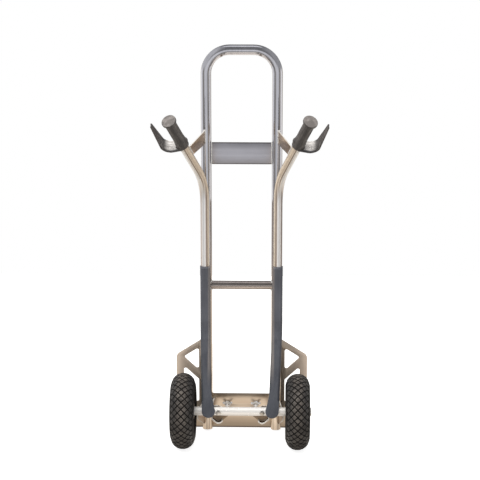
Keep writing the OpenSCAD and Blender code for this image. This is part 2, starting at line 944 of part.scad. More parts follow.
// Tyre with diamond blocks: the lattice lies on the floor of the crossing grooves, and each
// block rises from its four lattice points to a smaller diamond
module tyre(side) {
    floor_r = section_r - tread_h;
    n = tread_n;
    rows = tread_steps;
    half = carcass_half();
    carcass = concat(
        half,
        [section_point(0, cavity_r)],
        [for (k = [len(half) - 1:-1:0]) [half[k].x, -half[k].y]]
    );
    lattice = [
        for (row = [0:rows])
            for (k = [0:n - 1])
                turned(section_point(tread_phi(row), floor_r), tread_angle(2 * k + row % 2))
    ];
    shrink = 1 - tread_inset / 2;
    blocks = [
        for (row = [1:rows - 1])
            for (k = [0:n - 1])
                let (step = 2 * k + (row + 1) % 2)
                for (corner = [[-1, 0], [0, -1], [1, 0], [0, 1]])
                    turned(
                        section_point(tread_phi(row + shrink * corner.y), section_r),
                        tread_angle(step + shrink * corner.x)
                    )
    ];
    rings = [
        for (p = carcass)
            for (k = [0:n - 1])
                turned(p, tread_angle(2 * k + rows % 2))
    ];
    first_block = len(lattice);
    first_ring = first_block + len(blocks);
    last = len(carcass) - 1;
    block_faces = [
        for (row = [1:rows - 1])
            for (k = [0:n - 1])
                let (
                    shift = (row + 1) % 2,
                    left = row * n + (shift == 1 ? k : (k + n - 1) % n),
                    right = row * n + (shift == 1 ? (k + 1) % n : k),
                    below = (row - 1) * n + k,
                    above = (row + 1) * n + k,
                    outer = [left, below, right, above],
                    top = first_block + ((row - 1) * n + k) * 4
                )
                each concat(
                    [[top, top + 1, top + 2], [top, top + 2, top + 3]],
                    [
                        for (c = [0:3])
                            let (d = (c + 1) % 4)
                            each [
                                [outer[c], outer[d], top + d],
                                [outer[c], top + d, top + c]
                            ]
                    ]
                )
    ];
    edge_faces = [
        for (k = [0:n - 1])
            let (
                next = (k + 1) % n,
                top_row = rows * n
            )
            each [
                [k, next, n + k],
                [top_row + k, top_row - n + (k + rows % 2) % n, top_row + next]
            ]
    ];
    ring_faces = [
        for (i = [0:last - 1])
            for (k = [0:n - 1])
                let (
                    a = first_ring + i * n,
                    b = a + n,
                    next = (k + 1) % n
                )
                each [
                    [a + k, a + next, b + next],
                    [a + k, b + next, b + k]
                ]
    ];
    join_faces = [
        for (k = [0:n - 1])
            let (
                next = (k + 1) % n,
                top_row = rows * n,
                a = first_ring,
                b = first_ring + last * n
            )
            each [
                [top_row + k, top_row + next, a + next],
                [top_row + k, a + next, a + k],
                [b + k, b + next, next],
                [b + k, next, k]
            ]
    ];
    color(tyre_black)
        in_wheel(side)
            polyhedron(
                points = concat(lattice, blocks, rings),
                faces = concat(block_faces, edge_faces, ring_faces, join_faces)
            );
}

// Air tube in the tyre with its valve through the outer half of the rim
module inner_tube(side) {
    stem = section_c - tube_r + tube_wall / 2 - rim_seat_r + valve_len;
    color(tyre_black)
        in_wheel(side) {
            rotate_extrude()
                translate([section_c, 0])
                    ring(2 * tube_r, tube_wall);
            difference() {
                translate([rim_seat_r - valve_len, 0, valve_w])
                    rotate([0, 90, 0])
                        cylinder(d = valve_d, h = stem + tube_r);
                rotate_extrude()
                    translate([section_c, 0])
                        circle(r = tube_r - tube_wall / 2);
            }
        }
}

// One pressed half of the rim, its web at the wheel's middle plane
module rim_half(valve) {
    lip = rim_w / 2;
    edge = rim_t / 2 - seat_gap;
    difference() {
        rotate_extrude()
            polygon(rounded([
                [hub_r + seat_gap, seat_gap / 2, 0],
                [rim_seat_r, seat_gap / 2, rim_t],
                [rim_seat_r, lip - rim_t, 0],
                [rim_seat_r + flange_h, lip - rim_t, edge],
                [rim_seat_r + flange_h, lip, edge],
                [rim_seat_r - rim_t, lip, rim_t],
                [rim_seat_r - rim_t, rim_t + seat_gap / 2, rim_t],
                [hub_r + seat_gap, rim_t + seat_gap / 2, 0]
            ]));
        for (k = [0:rim_bolts - 1])
            rotate([0, 0, 360 / rim_bolts * (k + 0.5)])
                translate([rim_bolt_r, 0, -over])
                    cylinder(d = rim_bolt_d + 2 * seat_gap, h = lip);
        if (valve)
            translate([0, 0, valve_w])
                rotate([0, 90, 0])
                    cylinder(d = valve_d + 2 * seat_gap, h = tyre_r);
    }
}

module rim_outer(side) {
    color(steel)
        in_wheel(side)
            rim_half(true);
}

module rim_inner(side) {
    color(steel)
        in_wheel(side)
            mirror([0, 0, 1])
                rim_half(false);
}

module rim_bolts(side) {
    head_h = 0.65 * rim_bolt_d;
    seat = rim_t + 1.5 * seat_gap;
    color(steel)
        in_wheel(side)
            for (k = [0:rim_bolts - 1])
                rotate([0, 0, 360 / rim_bolts * (k + 0.5)])
                    translate([rim_bolt_r, 0, seat]) {
                        cylinder(d = 1.95 * rim_bolt_d, h = head_h, $fn = 6);
                        translate([0, 0, -2 * seat - rim_bolt_d])
                            cylinder(d = rim_bolt_d, h = 2 * seat + rim_bolt_d);
                    }
}

module rim_nuts(side) {
    nut_h = 0.8 * rim_bolt_d;
    color(steel)
        in_wheel(side)
            for (k = [0:rim_bolts - 1])
                rotate([0, 0, 360 / rim_bolts * (k + 0.5)])
                    translate([rim_bolt_r, 0, -rim_t - 1.5 * seat_gap - nut_h])
                        difference() {
                            cylinder(d = 1.95 * rim_bolt_d, h = nut_h, $fn = 6);
                            translate([0, 0, -over])
                                cylinder(d = rim_bolt_d + 2 * seat_gap, h = 2 * nut_h);
                        }
}

module hub(side) {
    color(steel)
        in_wheel(side)
            linear_extrude(hub_len, center = true)
                ring(2 * hub_r, hub_wall);
}

// Two sealed ball bearings: an outer ring that carries the sunk shields, and an inner ring
module bearings(side) {
    ring_t = (bearing_d - axle_rod_d) / 6;
    shield_d = axle_rod_d + 2 * ring_t;
    shield_w = bearing_w - ring_t / 2;
    color(steel)
        in_wheel(side)
            for (end = [-1, 1])
                translate([0, 0, end * (hub_len - bearing_w) / 2]) {
                    linear_extrude(bearing_w, center = true)
                        ring(bearing_d, ring_t);
                    linear_extrude(shield_w, center = true)
                        ring(bearing_d - ring_t, (bearing_d - ring_t - shield_d) / 2 - run_gap);
                    linear_extrude(bearing_w, center = true)
                        ring(shield_d, ring_t - run_gap);
                }
}

// Tube that keeps the inner rings of the two bearings apart
module bearing_spacer(side) {
    color(steel)
        in_wheel(side)
            linear_extrude(hub_len - 2 * bearing_w - 2 * seat_gap, center = true)
                ring(axle_rod_d + 8, 4 - run_gap);
}

main_loop();
top_cross_plate();
mid_crossbar();
lower_cross_plate();
on_side(-1) gusset();  // gusset_left
on_side(1) gusset();  // gusset_right
on_side(-1) handle_tube();  // handle_tube_left
on_side(1) handle_tube();  // handle_tube_right
on_side(-1) grip();  // grip_left
on_side(1) grip();  // grip_right
on_side(-1) skid();  // skid_left
on_side(1) skid();  // skid_right
toe_plate();
toe_bolts();
toe_washers();
wing_nut(-1);  // wing_nut_left
wing_nut(1);  // wing_nut_right
axle_tube();
axle_rod();
on_side(-1) axle_bracket();  // axle_bracket_left
on_side(1) axle_bracket();  // axle_bracket_right
on_side(-1) axle_cheek();  // axle_cheek_left
on_side(1) axle_cheek();  // axle_cheek_right
axle_bolts();
axle_nuts();
hub_washers();
axle_caps();
tyre(-1);  // tyre_left
tyre(1);  // tyre_right
inner_tube(-1);  // inner_tube_left
inner_tube(1);  // inner_tube_right
rim_outer(-1);  // rim_outer_left
rim_outer(1);  // rim_outer_right
rim_inner(-1);  // rim_inner_left
rim_inner(1);  // rim_inner_right
rim_bolts(-1);  // rim_bolts_left
rim_bolts(1);  // rim_bolts_right
rim_nuts(-1);  // rim_nuts_left
rim_nuts(1);  // rim_nuts_right
hub(-1);  // hub_left
hub(1);  // hub_right
bearings(-1);  // bearings_left
bearings(1);  // bearings_right
bearing_spacer(-1);  // bearing_spacer_left
bearing_spacer(1);  // bearing_spacer_right
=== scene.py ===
"""Looks of an upright aluminium hand truck with stair skids, safety grips and pneumatic wheels."""
import math

import bmesh
import bpy
from mathutils import Matrix, Vector


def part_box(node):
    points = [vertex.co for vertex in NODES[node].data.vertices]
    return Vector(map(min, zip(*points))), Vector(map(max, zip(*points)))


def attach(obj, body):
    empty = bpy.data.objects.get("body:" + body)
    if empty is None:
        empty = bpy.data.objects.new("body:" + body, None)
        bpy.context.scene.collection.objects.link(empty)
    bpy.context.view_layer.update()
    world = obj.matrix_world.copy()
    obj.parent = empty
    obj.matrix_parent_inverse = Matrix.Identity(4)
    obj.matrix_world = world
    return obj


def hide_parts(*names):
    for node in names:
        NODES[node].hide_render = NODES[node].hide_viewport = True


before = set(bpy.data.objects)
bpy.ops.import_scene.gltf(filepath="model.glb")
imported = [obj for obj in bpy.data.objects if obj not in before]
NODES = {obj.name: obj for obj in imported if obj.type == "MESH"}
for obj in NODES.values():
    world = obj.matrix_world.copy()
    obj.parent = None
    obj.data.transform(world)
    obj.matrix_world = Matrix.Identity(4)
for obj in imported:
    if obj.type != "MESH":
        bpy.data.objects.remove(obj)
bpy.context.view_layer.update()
MM = 0.001
SIDES = {"left": -1, "right": 1}

# Sizes of the frame that the dressing follows, in millimetres and degrees
MAIN_X, MAIN_Y, MAIN_R = 120.5, -27.6, 17.5
HANDLE_X, HANDLE_Y, HANDLE_R = 124.5, -60.105, 15.0
HANDLE_END = Vector((226.6, -289.4, 1136.2))
HANDLE_WAY = Vector((0.295, -0.6627, 0.6884))
GUSSET_BACK, GUSSET_END_H, GUSSET_Z, GUSSET_H, GUSSET_T = 170.0, 44.0, 1028.0, 47.0, 4.0
CROSSBAR_Z, CROSSBAR_R = 530.0, 15.0
TOP_PLATE_Z, TOP_PLATE_H, TOP_PLATE_T = 992.0, 75.0, 4.0
AXLE_Y, AXLE_Z, AXLE_R = -202.6, 130.0, 15.0
TAIL_X, TAIL_LEAN, TAIL_TURN = 114.5, 30.0, 4.0
SLEEVE_R = 19.0
TOE_BOLT_X, TOE_BOLT_Z, TOE_BOLT_R, TOE_NUT_H = 50.0, 92.5, 5.0, 12.0
AXLE_BOLT_X, AXLE_BOLT_R = 74.5, 4.75
THREAD_STEP = 1.25
BEAD_STEP, BEAD_VARY, BEAD_OUT = 1.9, 0.14, 0.6
UPPER_STITCH, LOWER_STITCH = (791.0, 827.0), (622.0, 650.0)
SEAM_STEPS, THREAD_SIDES = 48, 16

# Tyre: place of its section, and the lattice of its tread
WHEEL_X, SECTION_C, TUBE_SPACE_R = 195.0, 88.0, 33.0
TREAD_COUNT, TREAD_COLUMNS, TREAD_ARC = 34, 7, 100.0
BLOCK_TOP, BLOCK_HALF, BLOCK_CORNER, GROOVE = 41.2, 8.4, 0.10, 3.0
LATHE_STEPS = 136


class Val:
    """A socket in a node tree; arithmetic on it adds Math nodes."""

    def __init__(self, tree, socket):
        self.tree, self.socket = tree, socket

    def math(self, operation, *others):
        return self.tree.node("ShaderNodeMath", {"operation": operation},
                              dict(enumerate((self,) + others)))

    def __add__(self, other):
        return self.math("ADD", other)

    __radd__ = __add__

    def __mul__(self, other):
        return self.math("MULTIPLY", other)

    __rmul__ = __mul__

    def __sub__(self, other):
        return self.math("SUBTRACT", other)

    def __rsub__(self, other):
        return self * -1 + other

    def __truediv__(self, other):
        return self.math("DIVIDE", other)

    def __mod__(self, other):
        return self.math("FLOORED_MODULO", other)

    def step(self, low, high):
        """Smooth step from 0 at low to 1 at high."""
        return self.tree.node("ShaderNodeMapRange", {"interpolation_type": "SMOOTHSTEP"},
                              {"Value": self, "From Min": low, "From Max": high})


class Tree:
    """Adds nodes to a shader or geometry tree."""

    def __init__(self, tree):
        self.tree = tree

    def node(self, kind, settings=None, sockets=None, out=0):
        made = self.tree.nodes.new(kind)
        for key, value in (settings or {}).items():
            if key == "stops":
                ramp = made.color_ramp
                while len(ramp.elements) < len(value):
                    ramp.elements.new(0.5)
                for stop, (place, colour) in zip(ramp.elements, value):
                    stop.position, stop.color = place, (*colour, 1.0)
            else:
                setattr(made, key, value)
        for key, value in (sockets or {}).items():
            target = made.inputs[key]
            if isinstance(value, Val):
                self.tree.links.new(value.socket, target)
            else:
                target.default_value = value
        return Val(self, made.outputs[out])

    def mix(self, factor, a, b):
        """Mixes two colours, each a colour or a socket."""
        a, b = [c if isinstance(c, Val) else (*c, 1.0) for c in (a, b)]
        return self.node("ShaderNodeMix", {"data_type": "RGBA"}, {0: factor, 6: a, 7: b}, out=2)

    def place(self, scale, turn=(0, 0, 0)):
        """Object coordinates, scaled and turned."""
        raw = self.node("ShaderNodeTexCoord", out="Object")
        return self.node("ShaderNodeMapping", {}, {"Vector": raw, "Scale": scale, "Rotation": turn})

    def part(self, axis):
        """One of the object coordinates, by its number."""
        raw = self.node("ShaderNodeTexCoord", out="Object")
        return self.node("ShaderNodeSeparateXYZ", {}, {0: raw}, out=axis)

    def noise(self, vector, detail, rough=0.5):
        return self.node("ShaderNodeTexNoise", {}, {"Vector": vector, "Scale": 1.0,
                                                    "Detail": detail, "Roughness": rough})

    def bump(self, height, strength, distance):
        return self.node("ShaderNodeBump", {}, {"Strength": strength, "Distance": distance,
                                                "Height": height})


def linear(r, g, b):
    """sRGB numbers from 0 to 255 as linear colour."""
    def one(c):
        c /= 255
        return c / 12.92 if c <= 0.04045 else ((c + 0.055) / 1.055) ** 2.4
    return one(r), one(g), one(b)


def finish(name, build):
    """A material whose build(tree) returns the sockets of its Principled shader."""
    made = bpy.data.materials.new(name)
    made.use_nodes = True
    tree = Tree(made.node_tree)
    shader = made.node_tree.nodes["Principled BSDF"]
    for key, value in build(tree).items():
        if isinstance(value, Val):
            made.node_tree.links.new(value.socket, shader.inputs[key])
        else:
            shader.inputs[key].default_value = value
    return made


def drawn_tube(dark, light, rough, foot=None, metal=1.0, axis=2):
    """Drawn aluminium tube: fine lines along its axis, cloudy oxide, rubbed spots; with foot, a painted
    shade strip on its inner flank and a warmer foot that is a painted reflection of the floor.
    """
    def stretched(across, along):
        return [along if k == axis else across for k in range(3)]

    def build(t):
        lines = t.noise(t.place(stretched(900, 5)), 4.0, 0.6)
        bands = t.noise(t.place(stretched(150, 2)), 2.0)
        cloud = t.noise(t.place(stretched(14, 9)), 4.0)
        rubs = t.noise(t.place(stretched(60, 260)), 5.0, 0.7).step(0.60, 0.72)
        tone = lines * 0.35 + bands * 0.35 + cloud * 0.3
        colour = t.mix(tone.step(0.3, 0.7), dark, light)
        if foot:
            # Painted shade: a dark brown strip on the inner flank of the main tube, below the top of
            # the handle.
            flank = 1 - t.part(0).math("ABSOLUTE").step(0.1055, 0.1085)
            colour = t.mix(flank * (1 - t.part(2).step(0.82, 0.84)), colour, linear(112, 98, 90))
            # Painted reflection of the warm floor: the tube turns tan, with darker streaks, towards its
            # foot.
            low = 1 - t.part(2).step(0.05, 0.75)
            mottled = t.mix(bands.step(0.42, 0.56), [c * 0.6 for c in foot], foot)
            colour = t.mix(low * (0.85 + cloud * 0.15), colour, mottled)
        return {
            "Base Color": colour,
            "Metallic": metal,
            "Roughness": rough + tone * 0.14 + rubs * 0.12 - 0.07,
            "Normal": t.bump(lines, 0.06, 0.0004),
        }
    return build


def across_handle(t, radius):
    """Place across a handle from its inner side, 0, to its outer side, 1."""
    slope = HANDLE_WAY.x / HANDLE_WAY.z
    leaning = t.part(2) * slope + (HANDLE_END.x - HANDLE_END.z * slope) * MM
    axis = leaning.math("SMOOTH_MAX", HANDLE_X * MM, 0.02)
    return (t.part(0).math("ABSOLUTE") - axis) / (2 * radius * MM) + 0.5


def handle_tube(t):
    """Bright drawn handle tube with painted reflection bands of tan and brown across it, mostly on its
    inner flank, and a painted cream sheen on its bend.
    """
    across = across_handle(t, HANDLE_R)
    lines = t.noise(t.place((900, 900, 5)), 4.0, 0.6)
    cloud = t.noise(t.place((14, 14, 9)), 4.0)
    # Painted reflection bands across the tube, from its inner side to its outer side, jittered by the
    # grain.
    painted_bands = t.node("ShaderNodeValToRGB", {"stops": [
        (0.00, linear(186, 170, 160)), (0.06, linear(238, 224, 203)), (0.18, linear(236, 220, 198)),
        (0.24, linear(176, 156, 142)), (0.36, linear(182, 163, 149)), (0.43, linear(253, 249, 245)),
        (0.56, linear(254, 252, 250)), (0.62, linear(214, 210, 208)), (0.68, linear(253, 250, 248)),
        (0.82, linear(250, 244, 238)), (0.90, linear(196, 180, 170)), (1.00, linear(206, 190, 178))
        ]}, {"Fac": across + lines * 0.05 + cloud * 0.04 - 0.045})
    bent = t.part(2).step(0.84, 0.92)
    # Painted dark reflection: a brown line down the middle of the bend.
    bend_dark_line = bent * (across.step(0.46, 0.51) - across.step(0.57, 0.62))
    # Painted dark reflection: a brown band near the outer side of the right tube only.
    right_edge = t.part(0).step(-0.01, 0.01) * across.step(0.80, 0.88) * (1 - bent)
    painted_bands = t.mix(right_edge * 0.8, painted_bands, linear(106, 92, 87))
    # Painted sheen: the bend turns cream, near white towards its outer side.
    bend_sheen = t.mix(bent * 0.75, painted_bands, linear(255, 235, 209))
    bend_sheen = t.mix(bent * across.step(0.58, 0.72), bend_sheen, linear(255, 251, 245))
    return {
        "Base Color": t.mix(bend_dark_line * 0.8, bend_sheen, linear(126, 100, 80)),
        "Metallic": 0.4 - bent * 0.15,
        "Roughness": 0.22 + lines * 0.12 + cloud * 0.06,
        "Normal": t.bump(lines, 0.08, 0.0004),
    }


def rolled_sheet(dark, light, rough, wings=None, shade_lines=()):
    """Mill finish sheet: rolling lines from side to side, dull clouds, scuffs, duller wings, painted
    shade towards the floor.

    Each height in the list is that of a painted dark line along the sheet's edges: painted shadow at a
    fold, painted dark reflection at an edge.
    """
    def build(t):
        lines = t.noise(t.place((6, 500, 750)), 5.0, 0.65)
        bands = t.noise(t.place((1.5, 40, 70)), 3.0)
        cloud = t.noise(t.place((11, 11, 11)), 4.0)
        scuff = t.noise(t.place((25, 90, 420), (0, 0.5, 0)), 5.0, 0.75).step(0.62, 0.72)
        tone = (lines * 0.3 + bands * 0.4 + cloud * 0.3).step(0.32, 0.68)
        colour = t.mix(tone, dark, light)
        blade = t.part(1).step(0.0, 0.02)
        wing = 0.0
        if wings:
            side = t.part(0).math("ABSOLUTE")
            wing = side.step(0.125, 0.190) * t.part(2).step(0.02, 0.16)
            dulled = t.mix(side.step(0.175, 0.228), [c * 0.62 for c in wings], wings)
            colour = t.mix(wing * (0.8 + cloud * 0.2), colour, dulled)
        # Painted shade: the sheet grows darker towards the floor, except on the blade.
        floor_shade = (1 - t.part(2).step(0.004, 0.052)) * (1 - blade) * (0.5 + cloud * 0.3)
        colour = t.mix(scuff * 0.3, colour, light)
        colour = t.mix(floor_shade, colour, [c * 0.4 for c in dark])
        # Painted dark lines at the given heights: painted shadow at a fold, painted dark reflection at
        # an edge.
        for line_height in shade_lines:
            near = 1 - (t.part(2) - line_height * MM).math("ABSOLUTE").step(0.0015, 0.0045)
            colour = t.mix(near * (1 - blade) * 0.8, colour, linear(74, 62, 56))
        return {
            "Base Color": colour,
            "Metallic": 1 - blade * 0.6 - wing * 0.75,
            "Roughness": rough + lines * 0.16 + scuff * 0.1 - 0.08,
            "Normal": t.bump(lines, 0.16, 0.0004),
        }
    return build


def sheared_edge(t):
    """Bright sheared edge of sheet, with upright shear lines."""
    lines = t.noise(t.place((500, 500, 300)), 3.0)
    return {
        "Base Color": t.mix(lines.step(0.3, 0.7), linear(232, 224, 213), linear(254, 250, 243)),
        "Metallic": 0.2,
        "Roughness": 0.32 + lines * 0.16,
    }


def plated_steel(dark, light, metal):
    """Bright zinc: faint blue and yellow clouds and small crystals."""
    def build(t):
        cloud = t.noise(t.place((90, 90, 90)), 3.0)
        grain = t.node("ShaderNodeTexVoronoi", {}, {"Vector": t.place((1400, 1400, 1400))})
        return {
            "Base Color": t.mix(cloud.step(0.35, 0.65), dark, light),
            "Metallic": metal,
            "Roughness": 0.2 + cloud * 0.16,
            "Normal": t.bump(grain, 0.05, 0.0002),
        }
    return build


def rim_lacquer(t):
    """Silver lacquer on pressed steel, with fine flake and patches of road dust."""
    flake = t.noise(t.place((2600, 2600, 2600)), 1.0)
    dust = t.noise(t.place((40, 40, 40)), 5.0, 0.6).step(0.52, 0.7)
    return {
        "Base Color": t.mix(dust * 0.4, linear(196, 196, 196), linear(150, 142, 132)),
        "Metallic": 0.7 - dust * 0.4,
        "Roughness": 0.3 + flake * 0.1 + dust * 0.2,
        "Coat Weight": 0.4 - dust * 0.3,
        "Normal": t.bump(flake, 0.04, 0.0003),
    }


def skid_plastic(t):
    """Extruded dark grey plastic: die lines along it, pale sliding scuffs, darker toward the floor,
    painted light on its inner side.
    """
    lines = t.noise(t.place((700, 260, 4)), 4.0, 0.6)
    cloud = t.noise(t.place((30, 30, 12)), 4.0)
    scuff = t.noise(t.place((420, 200, 16)), 5.0, 0.7).step(0.6, 0.74)
    tone = (lines * 0.55 + cloud * 0.45).step(0.3, 0.7)
    low = t.mix(tone, linear(62, 64, 70), linear(80, 82, 88))
    high = t.mix(tone, linear(79, 80, 86), linear(100, 101, 107))
    base = t.mix(t.part(2).step(0.12, 0.56), low, high)
    # Painted light: the inner side of the skid is paler, above its lower bend.
    inner = (1 - t.part(0).math("ABSOLUTE").step(0.1105, 0.1165)) * t.part(2).step(0.2, 0.3)
    base = t.mix(inner * (0.6 + lines * 0.4), base, linear(132, 125, 121))
    return {
        "Base Color": t.mix(scuff * 0.3, base, linear(128, 128, 132)),
        "Roughness": 0.44 + cloud * 0.1 + scuff * 0.16,
        "Normal": t.bump(lines, 0.2, 0.0004),
        "Specular IOR Level": 0.4,
    }


def past_handle_end(t):
    """How far a point lies past the end of its handle tube, along the tube."""
    end = HANDLE_END.dot(HANDLE_WAY) * MM
    return (t.part(0).math("ABSOLUTE") * HANDLE_WAY.x + t.part(1) * HANDLE_WAY.y
            + t.part(2) * HANDLE_WAY.z - end)


def grip_plastic(t):
    """Moulded grip: fine grain, glossy patches, a painted shade band down the middle, a paler end cap.
    """
    grain = t.node("ShaderNodeTexVoronoi", {}, {"Vector": t.place((1100, 1100, 1100))})
    fine = t.noise(t.place((2600, 2600, 2600)), 2.0)
    rubbed = t.noise(t.place((38, 38, 38)), 4.0, 0.6).step(0.45, 0.65)
    cap = past_handle_end(t).step(0.0035, 0.0055)
    across = across_handle(t, SLEEVE_R)
    run = t.node("ShaderNodeCombineXYZ", {}, {0: across * 9, 1: past_handle_end(t) * 14})
    streak = t.noise(run, 3.0, 0.6).step(0.38, 0.62)
    base = t.mix(streak * 0.7 + rubbed * 0.3, linear(72, 68, 66), linear(108, 102, 98))
    base = t.mix(fine.step(0.55, 0.75) * 0.25, base, linear(122, 116, 111))
    # Painted shade: a dark band down the middle of the sleeve, from side to side across it.
    shade_band = across.step(0.22, 0.42) - across.step(0.66, 0.88)
    base = t.mix(shade_band * 0.55, base, linear(50, 48, 49))
    mottled = t.mix(rubbed, linear(118, 112, 108), linear(152, 145, 140))
    return {
        "Base Color": t.mix(cap, base, mottled),
        "Roughness": 0.40 - rubbed * 0.12 + fine * 0.08,
        "Normal": t.bump(grain * 0.7 + fine * 0.3, 0.18, 0.0003),
        "Specular IOR Level": 0.7,
    }


def guard_highlight_plastic(t):
    """Bottom of a knuckle guard with a pale painted highlight, glossy, fading up its bend."""
    along = past_handle_end(t)
    width = t.part(1) * HANDLE_WAY.z - t.part(2) * HANDLE_WAY.y
    band = t.node("ShaderNodeCombineXYZ", {}, {0: t.part(0) * 16, 1: width * 260})
    lines = t.noise(band, 3.0, 0.6)
    cloud = t.noise(t.place((45, 45, 45)), 3.0)
    tone = (lines * 0.7 + cloud * 0.3).step(0.30, 0.62)
    # Painted highlight: pale lines across the bottom of the guard, dark towards one side, fading to
    # grip colour up its bend.
    pale = t.mix(tone, linear(164, 158, 152), linear(244, 239, 234))
    middle = (HANDLE_END.y * HANDLE_WAY.z - HANDLE_END.z * HANDLE_WAY.y) * MM
    pale = t.mix((width - middle).step(-0.018, -0.011), linear(70, 68, 69), pale)
    return {
        "Base Color": t.mix(along.step(-0.124, -0.106), pale, linear(78, 74, 71)),
        "Roughness": 0.26 + lines * 0.14,
        "Specular IOR Level": 0.8,
    }


def tyre_rubber(t):
    """Black rubber of the carcass and the block sides, with a cloudy brown bloom."""
    cloud = t.noise(t.place((28, 28, 28)), 5.0, 0.6)
    grit = t.noise(t.place((1500, 1500, 1500)), 2.0)
    return {
        "Base Color": t.mix(cloud.step(0.35, 0.68), linear(24, 23, 23), linear(38, 35, 33)),
        "Roughness": 0.62 + cloud * 0.2,
        "Normal": t.bump(grit, 0.25, 0.0004),
        "Specular IOR Level": 0.35,
    }


def tread_rubber(t):
    """Tops of the tread blocks: scrubbed and dusty patches, paler along the crown, from wear and from a
    painted highlight, darker to the shoulders.
    """
    cloud = t.noise(t.place((70, 70, 70)), 3.0)
    patch = t.noise(t.place((20, 20, 20)), 3.0)
    grit = t.noise(t.place((1200, 1200, 1200)), 2.0)
    mottled = (cloud * 0.6 + patch * 0.4).step(0.38, 0.66)
    # Paler crown and darker shoulders: partly scrubbed wear, partly a painted highlight along the
    # crown.
    off_crown = (t.part(0).math("ABSOLUTE") - WHEEL_X * MM).math("ABSOLUTE")
    crown = t.mix(mottled, linear(62, 57, 53), linear(100, 93, 86))
    shoulder = t.mix(mottled, linear(40, 38, 37), linear(62, 59, 56))
    return {
        "Base Color": t.mix(off_crown.step(0.006, 0.028), crown, shoulder),
        "Roughness": 0.38 + cloud * 0.22,
        "Normal": t.bump(grit, 0.2, 0.0004),
        "Specular IOR Level": 0.6,
    }


def tube_rubber(t):
    """Butyl of the inner tube."""
    cloud = t.noise(t.place((60, 60, 60)), 3.0)
    return {
        "Base Color": t.mix(cloud, linear(30, 30, 30), linear(48, 46, 45)),
        "Roughness": 0.6 + cloud * 0.15,
    }


def weld_metal(t):
    """Bright weld with a dull heat haze between its ripples."""
    haze = t.noise(t.place((220, 220, 220)), 3.0)
    return {
        "Base Color": t.mix(haze.step(0.3, 0.7), linear(222, 218, 212), linear(253, 252, 250)),
        "Metallic": 0.2,
        "Roughness": 0.26 + haze * 0.16,
    }


# Main loop tube; its tan foot colour is a painted reflection of the floor.
COOL = finish("cool_drawn_tube", drawn_tube(
    linear(186, 186, 192), linear(218, 218, 223), 0.13, foot=linear(238, 224, 206)))
WARM = finish("bright_handle_tube", handle_tube)
# Darker, warmer copy of the drawn tube finish: painted dark reflection on the crossbar.
CROSSBAR = finish("crossbar_tube_painted_shade", drawn_tube(
    linear(168, 159, 154), linear(200, 191, 185), 0.27, axis=0))
# Near-white, less metallic copy of the drawn tube finish: painted bright reflection on the axle tube.
AXLE = finish("axle_tube_painted_reflection", drawn_tube(
    linear(240, 234, 226), linear(254, 251, 247), 0.26, metal=0.35, axis=0))
# Toe plate sheet; its two dark lines near the foot are painted shadow at the fold.
SHEET = finish("rolled_toe_sheet", rolled_sheet(
    linear(212, 197, 178), linear(234, 220, 202), 0.30, wings=linear(220, 201, 182), shade_lines=[1.0, 4.5]))
LOW_SHEET = finish("rolled_lower_sheet", rolled_sheet(
    linear(206, 190, 171), linear(228, 213, 195), 0.32))
# Darker, browner copy of the sheet finish: painted dark reflection on the gussets.
FOLDED = finish("folded_sheet_painted_reflection", rolled_sheet(
    linear(184, 162, 139), linear(214, 192, 170), 0.32))
CHEEK = finish("pale_cheek_sheet", rolled_sheet(
    linear(196, 184, 174), linear(226, 216, 206), 0.34))
# Top plate sheet; the dark lines at its top and bottom edges are painted dark reflection.
CROSS = finish("cool_cross_sheet", rolled_sheet(
    linear(190, 189, 195), linear(216, 215, 221), 0.30,
    shade_lines=[TOP_PLATE_Z - TOP_PLATE_H / 2, TOP_PLATE_Z + TOP_PLATE_H / 2]))
# Darker copy of the sheet finish: painted shade on the axle brackets.
BRACKET = finish("bracket_sheet_painted_shade", rolled_sheet(
    linear(130, 113, 95), linear(158, 139, 118), 0.40))
EDGE = finish("sheared_edge", sheared_edge)
ZINC = finish("bright_zinc", plated_steel(linear(220, 214, 204), linear(236, 237, 241), 0.6))
NUT = finish("cast_zinc", plated_steel(linear(218, 212, 203), linear(240, 240, 242), 0.35))
# Darker copy of the zinc finish: painted shade on the axle bolts and nuts.
STEEL = finish("zinc_painted_shade", plated_steel(linear(176, 170, 160), linear(206, 204, 200), 1.0))
RIM = finish("silver_rim_lacquer", rim_lacquer)
SKID = finish("skid_extrusion", skid_plastic)
GRIP = finish("grained_grip", grip_plastic)
# Painted highlight inside the knuckle guards.
GUARD_HIGHLIGHT = finish("guard_painted_highlight", guard_highlight_plastic)
TYRE = finish("tyre_carcass_rubber", tyre_rubber)
TREAD = finish("scrubbed_tread_rubber", tread_rubber)
TUBE = finish("inner_tube_butyl", tube_rubber)
WELD = finish("weld_metal", weld_metal)

FINISHES = {
    "main_loop": COOL, "mid_crossbar": CROSSBAR, "axle_tube": AXLE, "top_cross_plate": CROSS,
    "handle_tube": WARM, "gusset": FOLDED, "toe_plate": SHEET, "lower_cross_plate": LOW_SHEET,
    "axle_bracket": BRACKET, "axle_cheek": CHEEK, "grip": GRIP, "skid": SKID,
    "axle_bolts": STEEL, "axle_nuts": STEEL, "tyre": TYRE, "inner_tube": TUBE,
    "rim_outer": RIM, "rim_inner": RIM,
}
for name, node in NODES.items():
    family = name.removesuffix("_left").removesuffix("_right")
    node.data.materials.clear()
    node.data.materials.append(FINISHES.get(family, ZINC))


def piece(name, mesh, body, slot, *replaced):
    """A finished mesh as a piece of the object on a CAD body."""
    made = bpy.data.objects.new(name, mesh)
    bpy.context.scene.collection.objects.link(made)
    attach(made, body)
    if replaced:
        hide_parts(*replaced)


def mesh_of(bm, name, *materials):
    """A mesh from the faces drawn so far, with its materials."""
    made = bpy.data.meshes.new(name)
    bm.to_mesh(made)
    bm.free()
    for material in materials:
        made.materials.append(material)
    return made


